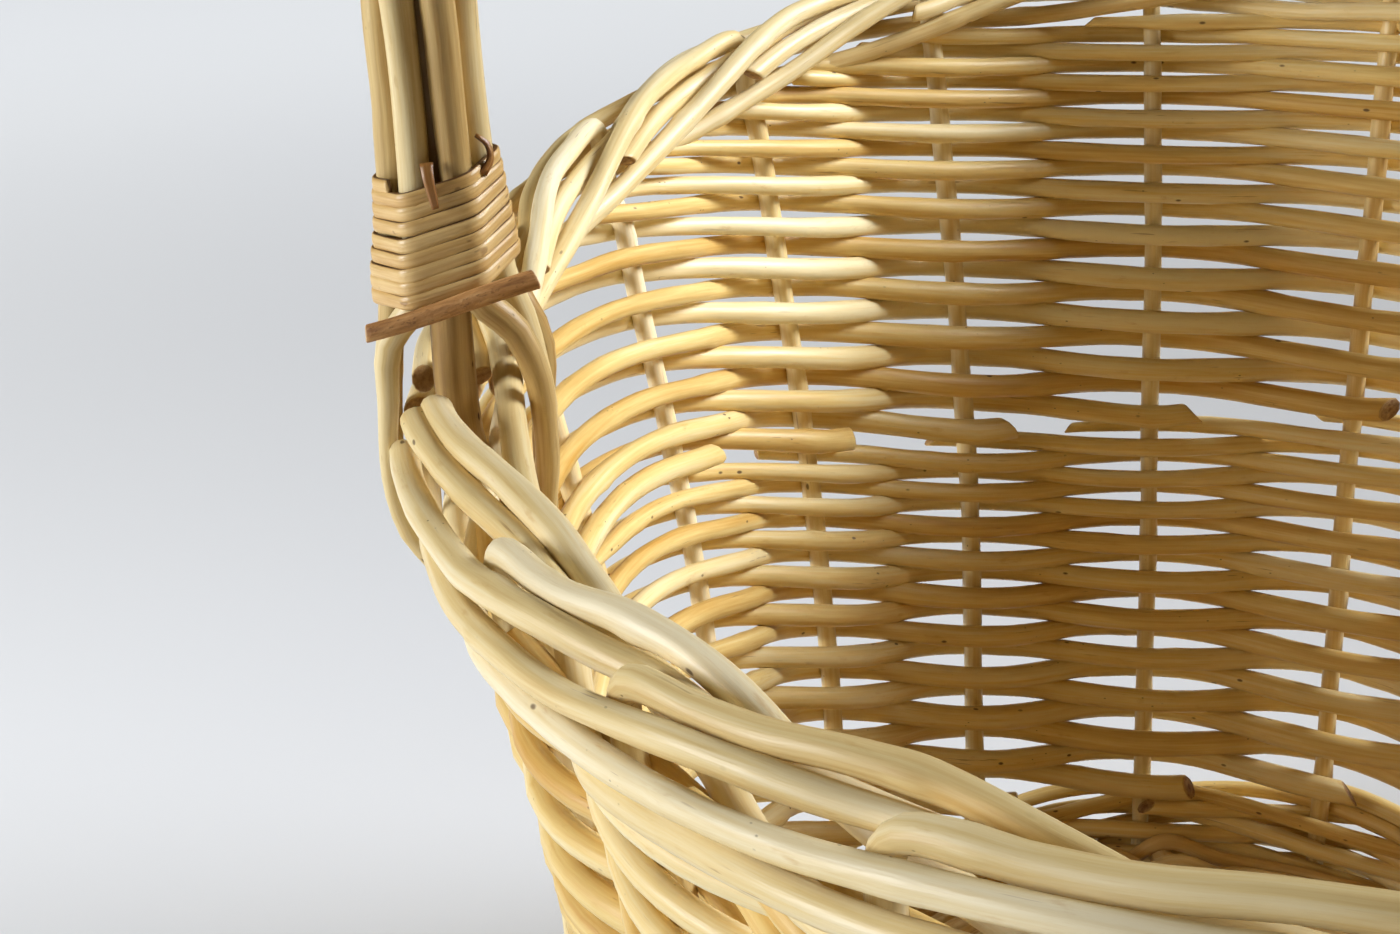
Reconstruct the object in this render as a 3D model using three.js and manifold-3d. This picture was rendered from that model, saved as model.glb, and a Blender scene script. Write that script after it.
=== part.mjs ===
// Oval willow gift basket with a fixed overhead handle.
// Millimetres, +Z up. The origin is at the middle of the underside, where the
// basket stands; +X runs across the oval to one handle foot, +Y along the oval.
//
// The body is stake and strand work: upright stakes stand in an oval base,
// carry the woven siding, and turn over at the top, where their own ends lie
// down to the right of each other as the rim. The handle is a bow pushed into
// the siding at both ends, with rods laid round it that loop over the rim.
import * as THREE from 'three';
import { mergeVertices } from 'three/addons/utils/BufferGeometryUtils.js';
import Module from 'manifold-3d';

const wasm = await Module();
wasm.setup();

// ---------------------------------------------------------------- dimensions
const RIM_A = 140;            // half width of the siding's middle at the rim, along X
const RIM_B = 180;            // half length of the siding's middle at the rim, along Y
const RIM_Z = 205;            // rim height at the handle feet
const RIM_RISE = 14;          // the rim rises this much towards both ends
const TAPER = 20.2;           // how far the siding leans in over TAPER_SPAN
const TAPER_SPAN = 178;
const HOLLOW = -4.9;          // inward bow of the siding at half height
const WALL_HALF = 5.5;        // half the thickness of the siding

const STAKES = 20;
// Where the ten stakes of one half stand, in even spacings from a handle foot;
// they close up a little past the foot, and the gap at the foot is wider.
const STAKE_AT = [1.12, 1.90, 2.745, 3.755, 4.755, 5.755, 6.755, 7.755, 8.755, 9.755];
const STAKE_R = 1.8;
const STAKE_FOOT_Z = 3;
const ROD_SIDES = 6;

const WALE_TOP = 24;          // top of the foot wale
const ROUND_JOIN = 121.7;      // height where the second round of weavers starts, at both ends
const JOIN_LIFT = 46;         // and how much it climbs towards the handle feet
const SEAM = 0.3;             // gap between one woven band and the next
const RIM_CLEAR = 8.2;        // the siding ends this far below the rim's middle

// The rim is rolled: past its bend each stake's end goes down the inside, under
// the rim to the outside, and up over the top again to the inside, where it is
// cut off. Rows: stake spacings past its own stake, outwards, above the rim height.
const RIM_BEND = [[0, 0.3, -5], [0, 1.1, 2.4], [0.016, 1.3, 5.7], [0.063, 1.2, 7.7], [0.15, 0.8, 8.5]];
const RIM_WAY = [
  [0.30, 0.07, 8.45], [0.55, -1.43, 8.95], [0.80, -3.91, 9.28], [1.05, -6.30, 8.47], [1.30, -7.25, 5.91],
  [1.60, -7.14, 2.30], [1.90, -6.59, -0.56], [2.20, -5.13, -2.78], [2.46, -2.00, -4.46], [2.75, 2.08, -4.76],
  [3.00, 4.94, -3.85], [3.50, 6.00, -1.71], [3.90, 6.41, 0.16], [4.30, 6.48, 2.00], [4.70, 6.10, 3.84],
  [5.10, 5.20, 5.70], [5.40, 3.60, 6.60], [5.70, 0.49, 6.51], [6.00, -2.78, 5.89], [6.30, -3.00, 5.38],
  [6.70, -4.27, 4.55], [7.10, -6.33, 2.70],
];
const RIM_END = 7.1;
const FOOT_STOP = 0.10;       // rods that meet the handle's bow stop this far from it, in spacings
const SPARE_FROM = [0.30, 5.30, 4.30]; // and spare rods carry on from the other side of the bow

const BOW_R = 3.5;
const WRAP_R = 2.9;
const WRAP_ORBIT = 6.75;
const WRAPS = 6;
const LEG_TOP = 265;          // the handle's legs are upright to this height
const ARCH_RISE = 135;        // and the arch rises this much above them
const BOW_DEPTH = 76;         // how far the bow goes down into the siding
const LOOP_R = 11.8;          // how far the wrapping rods stand off outside the rim
const LOOP_IN = 12.6;         // and inside it
const LOOP_SPREAD = 6.6;
const BIND_LOW = 26;
const BIND_HIGH = 50;
const BIND_IN = 10.05;
const BIND_OUT = 11.8;
const PEG_R = 1.8;
const PEG_LENGTH = 25;
const PEG_Y = 14.1;
const PEG_UP = 23.6;          // above the rim height

const BASE_LOW = 2;
const BASE_TOP = 14;
const BASE_STICK_Z = 9.4;
const LONG_R = 3.3;
const LONG_X = [-14, 0, 14];
const CROSS_Y = [-44, -22, 0, 22, 44];
const CROSS_HALF_W = 4.6;
const CROSS_HALF_H = 5.5;
const FIT = 0.4;              // clearance round a rod that passes through another piece

// ------------------------------------------------------------------- finish
const WILLOW = { color: 0xd9c283, roughness: 0.5, metalness: 0 };
const WILLOW_SIDING = { color: 0xcfb06a, roughness: 0.55, metalness: 0 };
const WILLOW_HANDLE = { color: 0xd3bd83, roughness: 0.5, metalness: 0 };
const SKEIN = { color: 0xb98a52, roughness: 0.4, metalness: 0 };
const BARK = { color: 0x8a5a34, roughness: 0.65, metalness: 0 };

const basket = new THREE.Group();
basket.name = 'willow_gift_basket';

function piece(name, geometry, finish) {
  const mesh = new THREE.Mesh(geometry, new THREE.MeshStandardMaterial(finish));
  mesh.name = name;
  basket.add(mesh);
  return mesh;
}

// -------------------------------------------------------------- the oval plan
const ARC = [0];
const ARC_N = 4000;
for (let i = 1; i <= ARC_N; i++) {
  const t = Math.PI + ((i - 0.5) / ARC_N) * 2 * Math.PI;
  const ds = Math.hypot(RIM_A * Math.sin(t), RIM_B * Math.cos(t)) * (2 * Math.PI / ARC_N);
  ARC.push(ARC[i - 1] + ds);
}
const SPACING = ARC[ARC_N] / STAKES;

// Stake k stands at s = k + 0.5, counter-clockwise seen from above. This is the
// same place in even spacings from the handle foot at -X.
const HALF = STAKE_AT.length;
function placeAt(s) {
  const i = Math.floor(s - 0.5);
  const at = (k) => STAKE_AT[((k % HALF) + HALF) % HALF] + HALF * Math.floor(k / HALF);
  return at(i) + (at(i + 1) - at(i)) * (s - 0.5 - i);
}
// How far past its last stake a handle foot is, as a share of that gap.
const FOOT_SHARE = (HALF - STAKE_AT[HALF - 1]) / (HALF + STAKE_AT[0] - STAKE_AT[HALF - 1]);

// Angle on the oval at s.
function angleAt(s) {
  const place = placeAt(s);
  const turns = Math.floor(place / STAKES);
  const want = (place - turns * STAKES) * SPACING;
  let lo = 0, hi = ARC_N;
  while (hi - lo > 1) {
    const mid = (lo + hi) >> 1;
    if (ARC[mid] <= want) lo = mid; else hi = mid;
  }
  const f = (want - ARC[lo]) / (ARC[hi] - ARC[lo]);
  return Math.PI + 2 * Math.PI * (turns + (lo + f) / ARC_N);
}

const rimHeight = (a) => RIM_Z + RIM_RISE * Math.sin(a) ** 2;
function joinHeight(a) {
  const c = Math.abs(Math.cos(a));
  return ROUND_JOIN + JOIN_LIFT * c ** 2.2 * (1 - 0.2 * c ** 8);
}

function wallOffset(z) {
  const v = (RIM_Z - z) / TAPER_SPAN;
  return -TAPER * v + HOLLOW * Math.sin(Math.PI * v);
}

function wallPoint(a, z, r = 0) {
  const o = wallOffset(z) + r;
  return new THREE.Vector3((RIM_A + o) * Math.cos(a), (RIM_B + o) * Math.sin(a), z);
}

// A point of the rim, r outwards and up above the rim height.
function rimPoint(s, r, up) {
  const a = angleAt(s);
  const z = rimHeight(a);
  const o = wallOffset(z) + r;
  return new THREE.Vector3((RIM_A + o) * Math.cos(a), (RIM_B + o) * Math.sin(a), z + up);
}

// ------------------------------------------------------------------ rod sweep
// A rod's middle line: straight runs between points, mitred at each point.
class RodLine extends THREE.Curve {
  constructor(points) {
    super();
    this.points = points;
  }
  getPoint(t, target = new THREE.Vector3()) {
    const n = this.points.length - 1;
    const x = Math.min(1, Math.max(0, t)) * n;
    const i = Math.min(n - 1, Math.floor(x + 1e-9));
    return target.copy(this.points[i]).lerp(this.points[i + 1], Math.max(0, x - i));
  }
  getPointAt(u, target) {
    return this.getPoint(u, target);
  }
  getTangent(t, target = new THREE.Vector3()) {
    const n = this.points.length - 1;
    const i = Math.round(t * n);
    const a = this.points[Math.max(0, i - 1)];
    const b = this.points[i];
    const c = this.points[Math.min(n, i + 1)];
    const d = new THREE.Vector3();
    if (i > 0) d.add(b.clone().sub(a).normalize());
    if (i < n) d.add(c.clone().sub(b).normalize());
    return target.copy(d.normalize());
  }
  getTangentAt(u, target) {
    return this.getTangent(u, target);
  }
}

function section(radius, sides = ROD_SIDES) {
  const pts = [];
  for (let i = 0; i < sides; i++) {
    const t = ((i + 0.5) / sides) * 2 * Math.PI;
    pts.push(new THREE.Vector2(radius * Math.cos(t), radius * Math.sin(t)));
  }
  return new THREE.Shape(pts);
}

function rod(points, radius, sides = ROD_SIDES) {
  const g = new THREE.ExtrudeGeometry(section(radius, sides), {
    steps: points.length - 1, bevelEnabled: false, extrudePath: new RodLine(points),
  });
  return welded(g);
}

function welded(g) {
  g.deleteAttribute('normal');
  if (g.getAttribute('uv')) g.deleteAttribute('uv');
  return mergeVertices(g, 1e-4);
}

function solid(g) {
  const m = g.index ? g : welded(g);
  return new wasm.Manifold(new wasm.Mesh({
    numProp: 3,
    vertProperties: new Float32Array(m.getAttribute('position').array),
    triVerts: new Uint32Array(m.index.array),
  }));
}

function geometryOf(manifold) {
  const m = manifold.getMesh();
  const g = new THREE.BufferGeometry();
  const p = new Float32Array(m.numVert * 3);
  for (let i = 0; i < m.numVert; i++) {
    for (let k = 0; k < 3; k++) p[3 * i + k] = m.vertProperties[m.numProp * i + k];
  }
  g.setAttribute('position', new THREE.BufferAttribute(p, 3));
  g.setIndex(new THREE.BufferAttribute(new Uint32Array(m.triVerts), 1));
  return g;
}

// --------------------------------------------------------------------- stakes
const sidingTop = (a) => rimHeight(a) - RIM_CLEAR;
const mix = (a, b, t) => a + (b - a) * t;

// Upright part: the same levels as the woven bands, so that both bend together.
function uprightLevels(a) {
  return [WALE_TOP, joinHeight(a), sidingTop(a)];
}

// Where a rim rod lies w stake spacings past its own stake.
function rimWay(w) {
  let i = 0;
  while (i < RIM_WAY.length - 2 && RIM_WAY[i + 1][0] < w) i++;
  const [p, q] = [RIM_WAY[i], RIM_WAY[i + 1]];
  const t = (w - p[0]) / (q[0] - p[0]);
  return [mix(p[1], q[1], t), mix(p[2], q[2], t)];
}

// The same, between two places along the rod, for a rod of stake k.
function rimRun(k, from, to, way = rimWay, also = []) {
  const between = [...RIM_WAY.map((p) => p[0]), ...also].filter((w) => w > from + 0.06 && w < to - 0.06);
  return [from, ...between.sort((p, q) => p - q), to].map((w) => rimPoint(k + 0.5 + w, ...way(w)));
}

// From stake k to the next handle foot, and where its rod stops for it.
const toFoot = (k) => FOOT_SHARE + HALF - 1 - (k % HALF);
const STOPPED = [HALF - 1, 5, 4, 3];
const rimStop = (k) => (STOPPED.includes(k % HALF) ? toFoot(k) - FOOT_STOP : RIM_END);
// Rods that go on past the foot keep clear of the bow.
const CLEAR = 5.75;
function clearOf(k) {
  const d = toFoot(k);
  return (w) => {
    const [r, up] = rimWay(w);
    const near = Math.max(0, 1 - (Math.abs(w - d) / 0.13) ** 4);
    return [r + near * (Math.sign(r) * Math.max(CLEAR, Math.abs(r)) - r), up];
  };
}

function stakeLine(k) {
  const s0 = k + 0.5;
  const a = angleAt(s0);
  const pts = [wallPoint(a, STAKE_FOOT_Z)];
  for (const z of uprightLevels(a)) pts.push(wallPoint(a, z));
  const stop = rimStop(k);
  for (const [w, r, up] of RIM_BEND) if (w < stop) pts.push(rimPoint(s0 + w, r, up));
  const d = toFoot(k);
  if (stop > 1) pts.push(...rimRun(k, RIM_WAY[0][0], stop, d < stop ? clearOf(k) : rimWay, d < stop ? [d - 0.13, d - 0.07, d, d + 0.07, d + 0.13] : []));
  return pts;
}

const stakeHoles = [];
for (let k = 0; k < STAKES; k++) {
  piece(`stake_${String(k + 1).padStart(2, '0')}`, rod(stakeLine(k), STAKE_R), WILLOW);
  const a = angleAt(k + 0.5);
  const line = [wallPoint(a, STAKE_FOOT_Z - FIT)];
  for (const z of uprightLevels(a)) line.push(wallPoint(a, z));
  line.push(rimPoint(k + 0.5, 0.3, -5));
  stakeHoles.push(solid(rod(line, STAKE_R + FIT)));
}

// Spare rods of the rim, laid in from the handle's bow onwards.
[9, 4, 5].forEach((k, i) => {
  piece(`rim_rod_right_${i + 1}`, rod(rimRun(k, SPARE_FROM[i], RIM_END), STAKE_R), WILLOW);
  piece(`rim_rod_left_${i + 1}`, rod(rimRun(k + 10, SPARE_FROM[i], RIM_END), STAKE_R), WILLOW);
});

// --------------------------------------------------------------- the handle bow
const bowIn = [RIM_Z - BOW_DEPTH, sidingTop(Math.PI), RIM_Z];
function archPoint(u) { // u from 0 to 1 over the arch, left to right
  const t = Math.PI * (1 - u);
  return new THREE.Vector3(RIM_A * Math.cos(t), 0, LEG_TOP + ARCH_RISE * Math.sin(t));
}
const half = (p) => new THREE.Vector3(-p.x, -p.y, p.z); // the same place at the other foot

const ARCH_STEPS = 16;
const bowLeft = bowIn.map((z) => wallPoint(Math.PI, z));
const bowLine = [...bowLeft];
for (let i = 0; i <= ARCH_STEPS; i++) bowLine.push(archPoint(i / ARCH_STEPS));
bowLine.push(...bowLeft.slice().reverse().map(half));
piece('handle_bow', rod(bowLine, BOW_R), WILLOW_HANDLE);

const bowHoleLine = [wallPoint(Math.PI, bowIn[0] - FIT), ...bowLeft.slice(1)];
const bowHoles = [
  solid(rod(bowHoleLine, BOW_R + FIT)),
  solid(rod(bowHoleLine.map(half), BOW_R + FIT)),
];

// ----------------------------------------------------------------- woven bands
function band(low, high, levels) {
  const shape = new THREE.Shape();
  shape.absellipse(0, 0, RIM_A + WALL_HALF, RIM_B + WALL_HALF, 0, 2 * Math.PI, false, 0);
  const inner = new THREE.Path();
  inner.absellipse(0, 0, RIM_A - WALL_HALF, RIM_B - WALL_HALF, 0, 2 * Math.PI, true, 0);
  shape.holes.push(inner);
  const g = welded(new THREE.ExtrudeGeometry(shape, {
    depth: 1, steps: levels, bevelEnabled: false, curveSegments: 24,
  }));
  const p = g.getAttribute('position');
  for (let i = 0; i < p.count; i++) {
    const x = p.getX(i), y = p.getY(i), t = p.getZ(i);
    const side = (x / RIM_A) ** 2 + (y / RIM_B) ** 2 > 1 ? WALL_HALF : -WALL_HALF;
    const a = Math.atan2(y / (RIM_B + side), x / (RIM_A + side));
    const q = wallPoint(a, mix(low(a), high(a), t), side);
    p.setXYZ(i, q.x, q.y, q.z);
  }
  return g;
}

function pierced(g, holes) {
  let m = solid(g);
  for (const h of holes) m = m.subtract(h);
  return geometryOf(m);
}

piece('foot_wale', pierced(band(() => 0, () => WALE_TOP, 1), stakeHoles), WILLOW_SIDING);
piece('siding_lower', pierced(band(() => WALE_TOP + SEAM, joinHeight, 1), [...stakeHoles, ...bowHoles]), WILLOW_SIDING);
piece('siding_upper', pierced(band((a) => joinHeight(a) + SEAM, sidingTop, 1), [...stakeHoles, ...bowHoles]), WILLOW_SIDING);

// ------------------------------------------------------------------------ base
const BASE_A = RIM_A + wallOffset(BASE_LOW) - WALL_HALF - FIT;
const BASE_B = RIM_B + wallOffset(BASE_LOW) - WALL_HALF - FIT;
const reach = (across, a, b) => b * Math.sqrt(1 - (across / a) ** 2) - 1.5;

const floorShape = new THREE.Shape();
floorShape.absellipse(0, 0, BASE_A, BASE_B, 0, 2 * Math.PI, false, 0);
let floor = solid(welded(new THREE.ExtrudeGeometry(floorShape, {
  depth: BASE_TOP - BASE_LOW, bevelEnabled: false, curveSegments: 24,
}).translate(0, 0, BASE_LOW)));

const slot = (w, l, low) => new THREE.BoxGeometry(w, l, 20).translate(0, 0, low + 10);
LONG_X.forEach((x, i) => {
  const h = reach(Math.abs(x) + LONG_R, BASE_A, BASE_B);
  const g = new THREE.CylinderGeometry(LONG_R, LONG_R, 2 * h, 8).translate(x, 0, 0);
  piece(`base_long_stick_${i + 1}`, welded(g.translate(0, 0, BASE_STICK_Z)), WILLOW);
  const cut = slot(2 * (LONG_R + FIT), 2 * BASE_B + 10, BASE_STICK_Z - LONG_R - FIT).translate(x, 0, 0);
  floor = floor.subtract(solid(welded(cut)));
});
CROSS_Y.forEach((y, i) => {
  const h = reach(Math.abs(y) + CROSS_HALF_W, BASE_B, BASE_A);
  const g = new THREE.CylinderGeometry(1, 1, 2 * h, 8).rotateY(Math.PI / 8).rotateZ(Math.PI / 2)
    .scale(1, CROSS_HALF_W, CROSS_HALF_H).translate(0, y, BASE_STICK_Z);
  const slit = new THREE.BoxGeometry(2 * (LONG_X[2] + LONG_R + 2), 30, 2 * (LONG_R + FIT))
    .translate(0, y, BASE_STICK_Z);
  piece(`base_cross_stick_${i + 1}`, geometryOf(solid(welded(g)).subtract(solid(welded(slit)))), WILLOW);
  const cut = slot(2 * BASE_A + 10, 2 * (CROSS_HALF_W + FIT), BASE_STICK_Z - CROSS_HALF_H - FIT)
    .translate(0, y, 0);
  floor = floor.subtract(solid(welded(cut)));
});
piece('base_weave', geometryOf(floor), WILLOW_SIDING);

// ----------------------------------------------------- rods laid round the bow
function wrapLine(i) {
  const start = (i / WRAPS) * 2 * Math.PI;
  const side = Math.cos(start) > 0 ? 1 : -1;           // outside or inside of the rim
  const spread = LOOP_SPREAD * Math.sign(Math.round(Math.sin(start) * 10));
  const at = (r, y, up) => new THREE.Vector3(-(RIM_A + r), y, RIM_Z + up);
  const below = side > 0
    ? [[5.5, -21], [10.2, -14], [LOOP_R, -6], [LOOP_R, 2], [11.5, 9.5], [8.9, 18.5]]
    : [[-13.4, -21], [-13.2, -14], [-LOOP_IN, -6], [-LOOP_IN, 2], [-12.2, 9.5], [-8.9, 18.5]];
  const foot = below.map(([r, up]) => at(r, spread, up));
  const line = [...foot];
  const spot = (phi, c, n) => new THREE.Vector3(
    c.x + WRAP_ORBIT * Math.cos(phi) * n.x, WRAP_ORBIT * Math.sin(phi), c.z + WRAP_ORBIT * Math.cos(phi) * n.z);
  const leftward = new THREE.Vector3(-1, 0, 0);
  line.push(spot(start, new THREE.Vector3(-RIM_A, 0, RIM_Z + BIND_LOW), leftward));
  line.push(spot(start, new THREE.Vector3(-RIM_A, 0, RIM_Z + BIND_HIGH), leftward));
  const n = 16;
  for (let j = 0; j <= n; j++) {
    const u = j / n;
    const t = Math.PI * (1 - u);
    const out = new THREE.Vector3(Math.cos(t) / RIM_A, 0, Math.sin(t) / ARCH_RISE).normalize();
    line.push(spot(start + 2 * Math.PI * u, archPoint(u), out));
  }
  const rightward = new THREE.Vector3(1, 0, 0);
  line.push(spot(start, new THREE.Vector3(RIM_A, 0, RIM_Z + BIND_HIGH), rightward));
  line.push(spot(start, new THREE.Vector3(RIM_A, 0, RIM_Z + BIND_LOW), rightward));
  line.push(...foot.slice().reverse().map((p) => new THREE.Vector3(-p.x, p.y, p.z)));
  return line;
}
for (let i = 0; i < WRAPS; i++) piece(`handle_rod_${i + 1}`, rod(wrapLine(i), WRAP_R), WILLOW_HANDLE);

// ------------------------------------------------------- bindings and their pegs
for (const [name, turn] of [['left', 0], ['right', Math.PI]]) {
  const profile = [[BIND_IN, BIND_LOW], [BIND_OUT, BIND_LOW], [BIND_OUT - 0.3, (BIND_LOW + BIND_HIGH) / 2],
    [BIND_OUT - 0.6, BIND_HIGH], [BIND_IN, BIND_HIGH], [BIND_IN, BIND_LOW]].map(([r, z]) => new THREE.Vector2(r, z));
  const ring = welded(new THREE.LatheGeometry(profile, 20)).rotateX(Math.PI / 2);
  const sleeve = piece(`binding_${name}`, ring, SKEIN);
  sleeve.position.set(turn ? RIM_A : -RIM_A, 0, RIM_Z);
  const stick = piece(`binding_peg_${name}`,
    welded(new THREE.CylinderGeometry(PEG_R, PEG_R, PEG_LENGTH, 8).rotateZ(Math.PI / 2)), BARK);
  const holder = new THREE.Group();
  holder.position.set(turn ? RIM_A : -RIM_A, 0, RIM_Z + PEG_UP);
  holder.rotation.z = turn;
  stick.position.set(0, -PEG_Y, 0);
  stick.rotation.y = -0.26;
  holder.add(stick);
  basket.add(holder);
}

export default basket;
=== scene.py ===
"""Oval willow gift basket: every rod of the weave as its own swept mesh."""
import math
import bpy
import numpy as np
from mathutils import Matrix, Vector


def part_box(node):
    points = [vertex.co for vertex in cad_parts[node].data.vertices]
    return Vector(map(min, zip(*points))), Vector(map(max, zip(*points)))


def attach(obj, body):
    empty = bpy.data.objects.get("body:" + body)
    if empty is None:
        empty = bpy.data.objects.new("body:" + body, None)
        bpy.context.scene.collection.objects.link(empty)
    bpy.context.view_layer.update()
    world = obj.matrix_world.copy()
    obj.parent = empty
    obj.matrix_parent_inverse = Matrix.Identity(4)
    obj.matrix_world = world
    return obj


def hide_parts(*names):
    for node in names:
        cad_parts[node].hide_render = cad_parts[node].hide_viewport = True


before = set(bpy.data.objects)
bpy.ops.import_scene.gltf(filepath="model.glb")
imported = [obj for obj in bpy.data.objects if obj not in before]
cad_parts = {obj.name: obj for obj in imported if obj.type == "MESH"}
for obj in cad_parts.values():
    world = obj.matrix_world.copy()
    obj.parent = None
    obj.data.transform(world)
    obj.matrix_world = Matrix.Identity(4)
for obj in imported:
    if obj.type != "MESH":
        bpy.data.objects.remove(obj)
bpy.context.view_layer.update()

# ------------------------------------------------------------------ dimensions
# Millimetres, in the frame of the construction; meshes are written in metres.
RIM_A, RIM_B = 140.0, 180.0
RIM_Z, RIM_RISE = 205.0, 14.0
STAKES = 20
STAKE_R = 2.05
STAKE_AT = (1.12, 1.90, 2.745, 3.755, 4.755, 5.755, 6.755, 7.755, 8.755, 9.755)
WALE_TOP, JOIN, JOIN_LIFT, RIM_CLEAR = 24.0, 121.7, 46.0, 7.2
LEG_TOP, ARCH_RISE = 265.0, 135.0
BOW_R, WRAP_R, WRAP_ORBIT, WRAPS = 2.95, 2.35, 5.35, 6

TH = np.linspace(math.pi, 3 * math.pi, 8001)
_mid = 0.5 * (TH[1:] + TH[:-1])
ARC = np.r_[0.0, np.cumsum(np.hypot(RIM_A * np.sin(_mid), RIM_B * np.cos(_mid)) * np.diff(TH))]
SPACING = ARC[-1] / STAKES


# Stake k stands at s = k + 0.5; its place is counted in even spacings from the foot.
_k = np.arange(-30, 90)
_at = np.array([STAKE_AT[k % 10] + 10 * (k // 10) for k in _k])
FOOT_SHARE = (10 - STAKE_AT[-1]) / (10 + STAKE_AT[0] - STAKE_AT[-1])


def ang(s):
    s = np.interp(np.asarray(s, float), _k + 0.5, _at)
    turns = np.floor(s / STAKES)
    return np.interp((s - turns * STAKES) * SPACING, ARC, TH) + 2 * math.pi * turns


def rim_height(a):
    return RIM_Z + RIM_RISE * np.sin(a) ** 2


def smooth(x):
    t = np.clip(x, 0.0, 1.0)
    return t * t * (3 - 2 * t)


def join_lift(a):
    c = np.abs(np.cos(a))
    return JOIN_LIFT * c ** 2.2 * (1 - 0.2 * c ** 8) * (1 - 0.45 * smooth(np.cos(a) / 0.6))


def wall_offset(z):
    v = (RIM_Z - np.asarray(z, float)) / 178.0
    return -20.2 * v - 4.9 * np.sin(math.pi * v)


def wall(s, z, r=0.0):
    a = ang(s)
    o = wall_offset(z) + r
    return np.stack([(RIM_A + o) * np.cos(a), (RIM_B + o) * np.sin(a), z + 0 * a], -1)


def rim(s, r, up):
    a = ang(s)
    z = rim_height(a)
    o = wall_offset(z) + r
    return np.stack([(RIM_A + o) * np.cos(a), (RIM_B + o) * np.sin(a), z + up], -1)


def through(points, step):
    """A smooth line through the given points, with a point about every step mm."""
    P = np.asarray(points, float)
    ext = np.vstack([2 * P[0] - P[1], P, 2 * P[-1] - P[-2]])
    out = []
    for i in range(len(P) - 1):
        p0, p1, p2, p3 = ext[i:i + 4]
        k = [max(np.linalg.norm(b - a), 1e-6) ** 0.5 for a, b in ((p0, p1), (p1, p2), (p2, p3))]
        t0, t1 = 0.0, k[0]
        t2, t3 = t1 + k[1], t1 + k[1] + k[2]
        n = max(2, int(math.ceil(np.linalg.norm(p2 - p1) / step)))
        t = np.linspace(t1, t2, n, endpoint=False)[:, None]
        a1 = (t1 - t) / (t1 - t0) * p0 + (t - t0) / (t1 - t0) * p1
        a2 = (t2 - t) / (t2 - t1) * p1 + (t - t1) / (t2 - t1) * p2
        a3 = (t3 - t) / (t3 - t2) * p2 + (t - t2) / (t3 - t2) * p3
        b1 = (t2 - t) / (t2 - t0) * a1 + (t - t0) / (t2 - t0) * a2
        b2 = (t3 - t) / (t3 - t1) * a2 + (t - t1) / (t3 - t1) * a3
        out.append((t2 - t) / (t2 - t1) * b1 + (t - t1) / (t2 - t1) * b2)
    out.append(P[-1][None])
    return np.vstack(out)


class Waver:
    """Smooth seeded wander along a rod, about -1 to 1."""

    def __init__(self, rng, lengths):
        self.parts = [(rng.uniform(0.7, 1.3) * L, rng.uniform(0, 6.28), 1.0 / math.sqrt(i + 1.0))
                      for i, L in enumerate(lengths)]

    def __call__(self, x):
        return sum(w * np.sin(2 * math.pi * x / L + p) for L, p, w in self.parts) / sum(w for _, _, w in self.parts)


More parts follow.
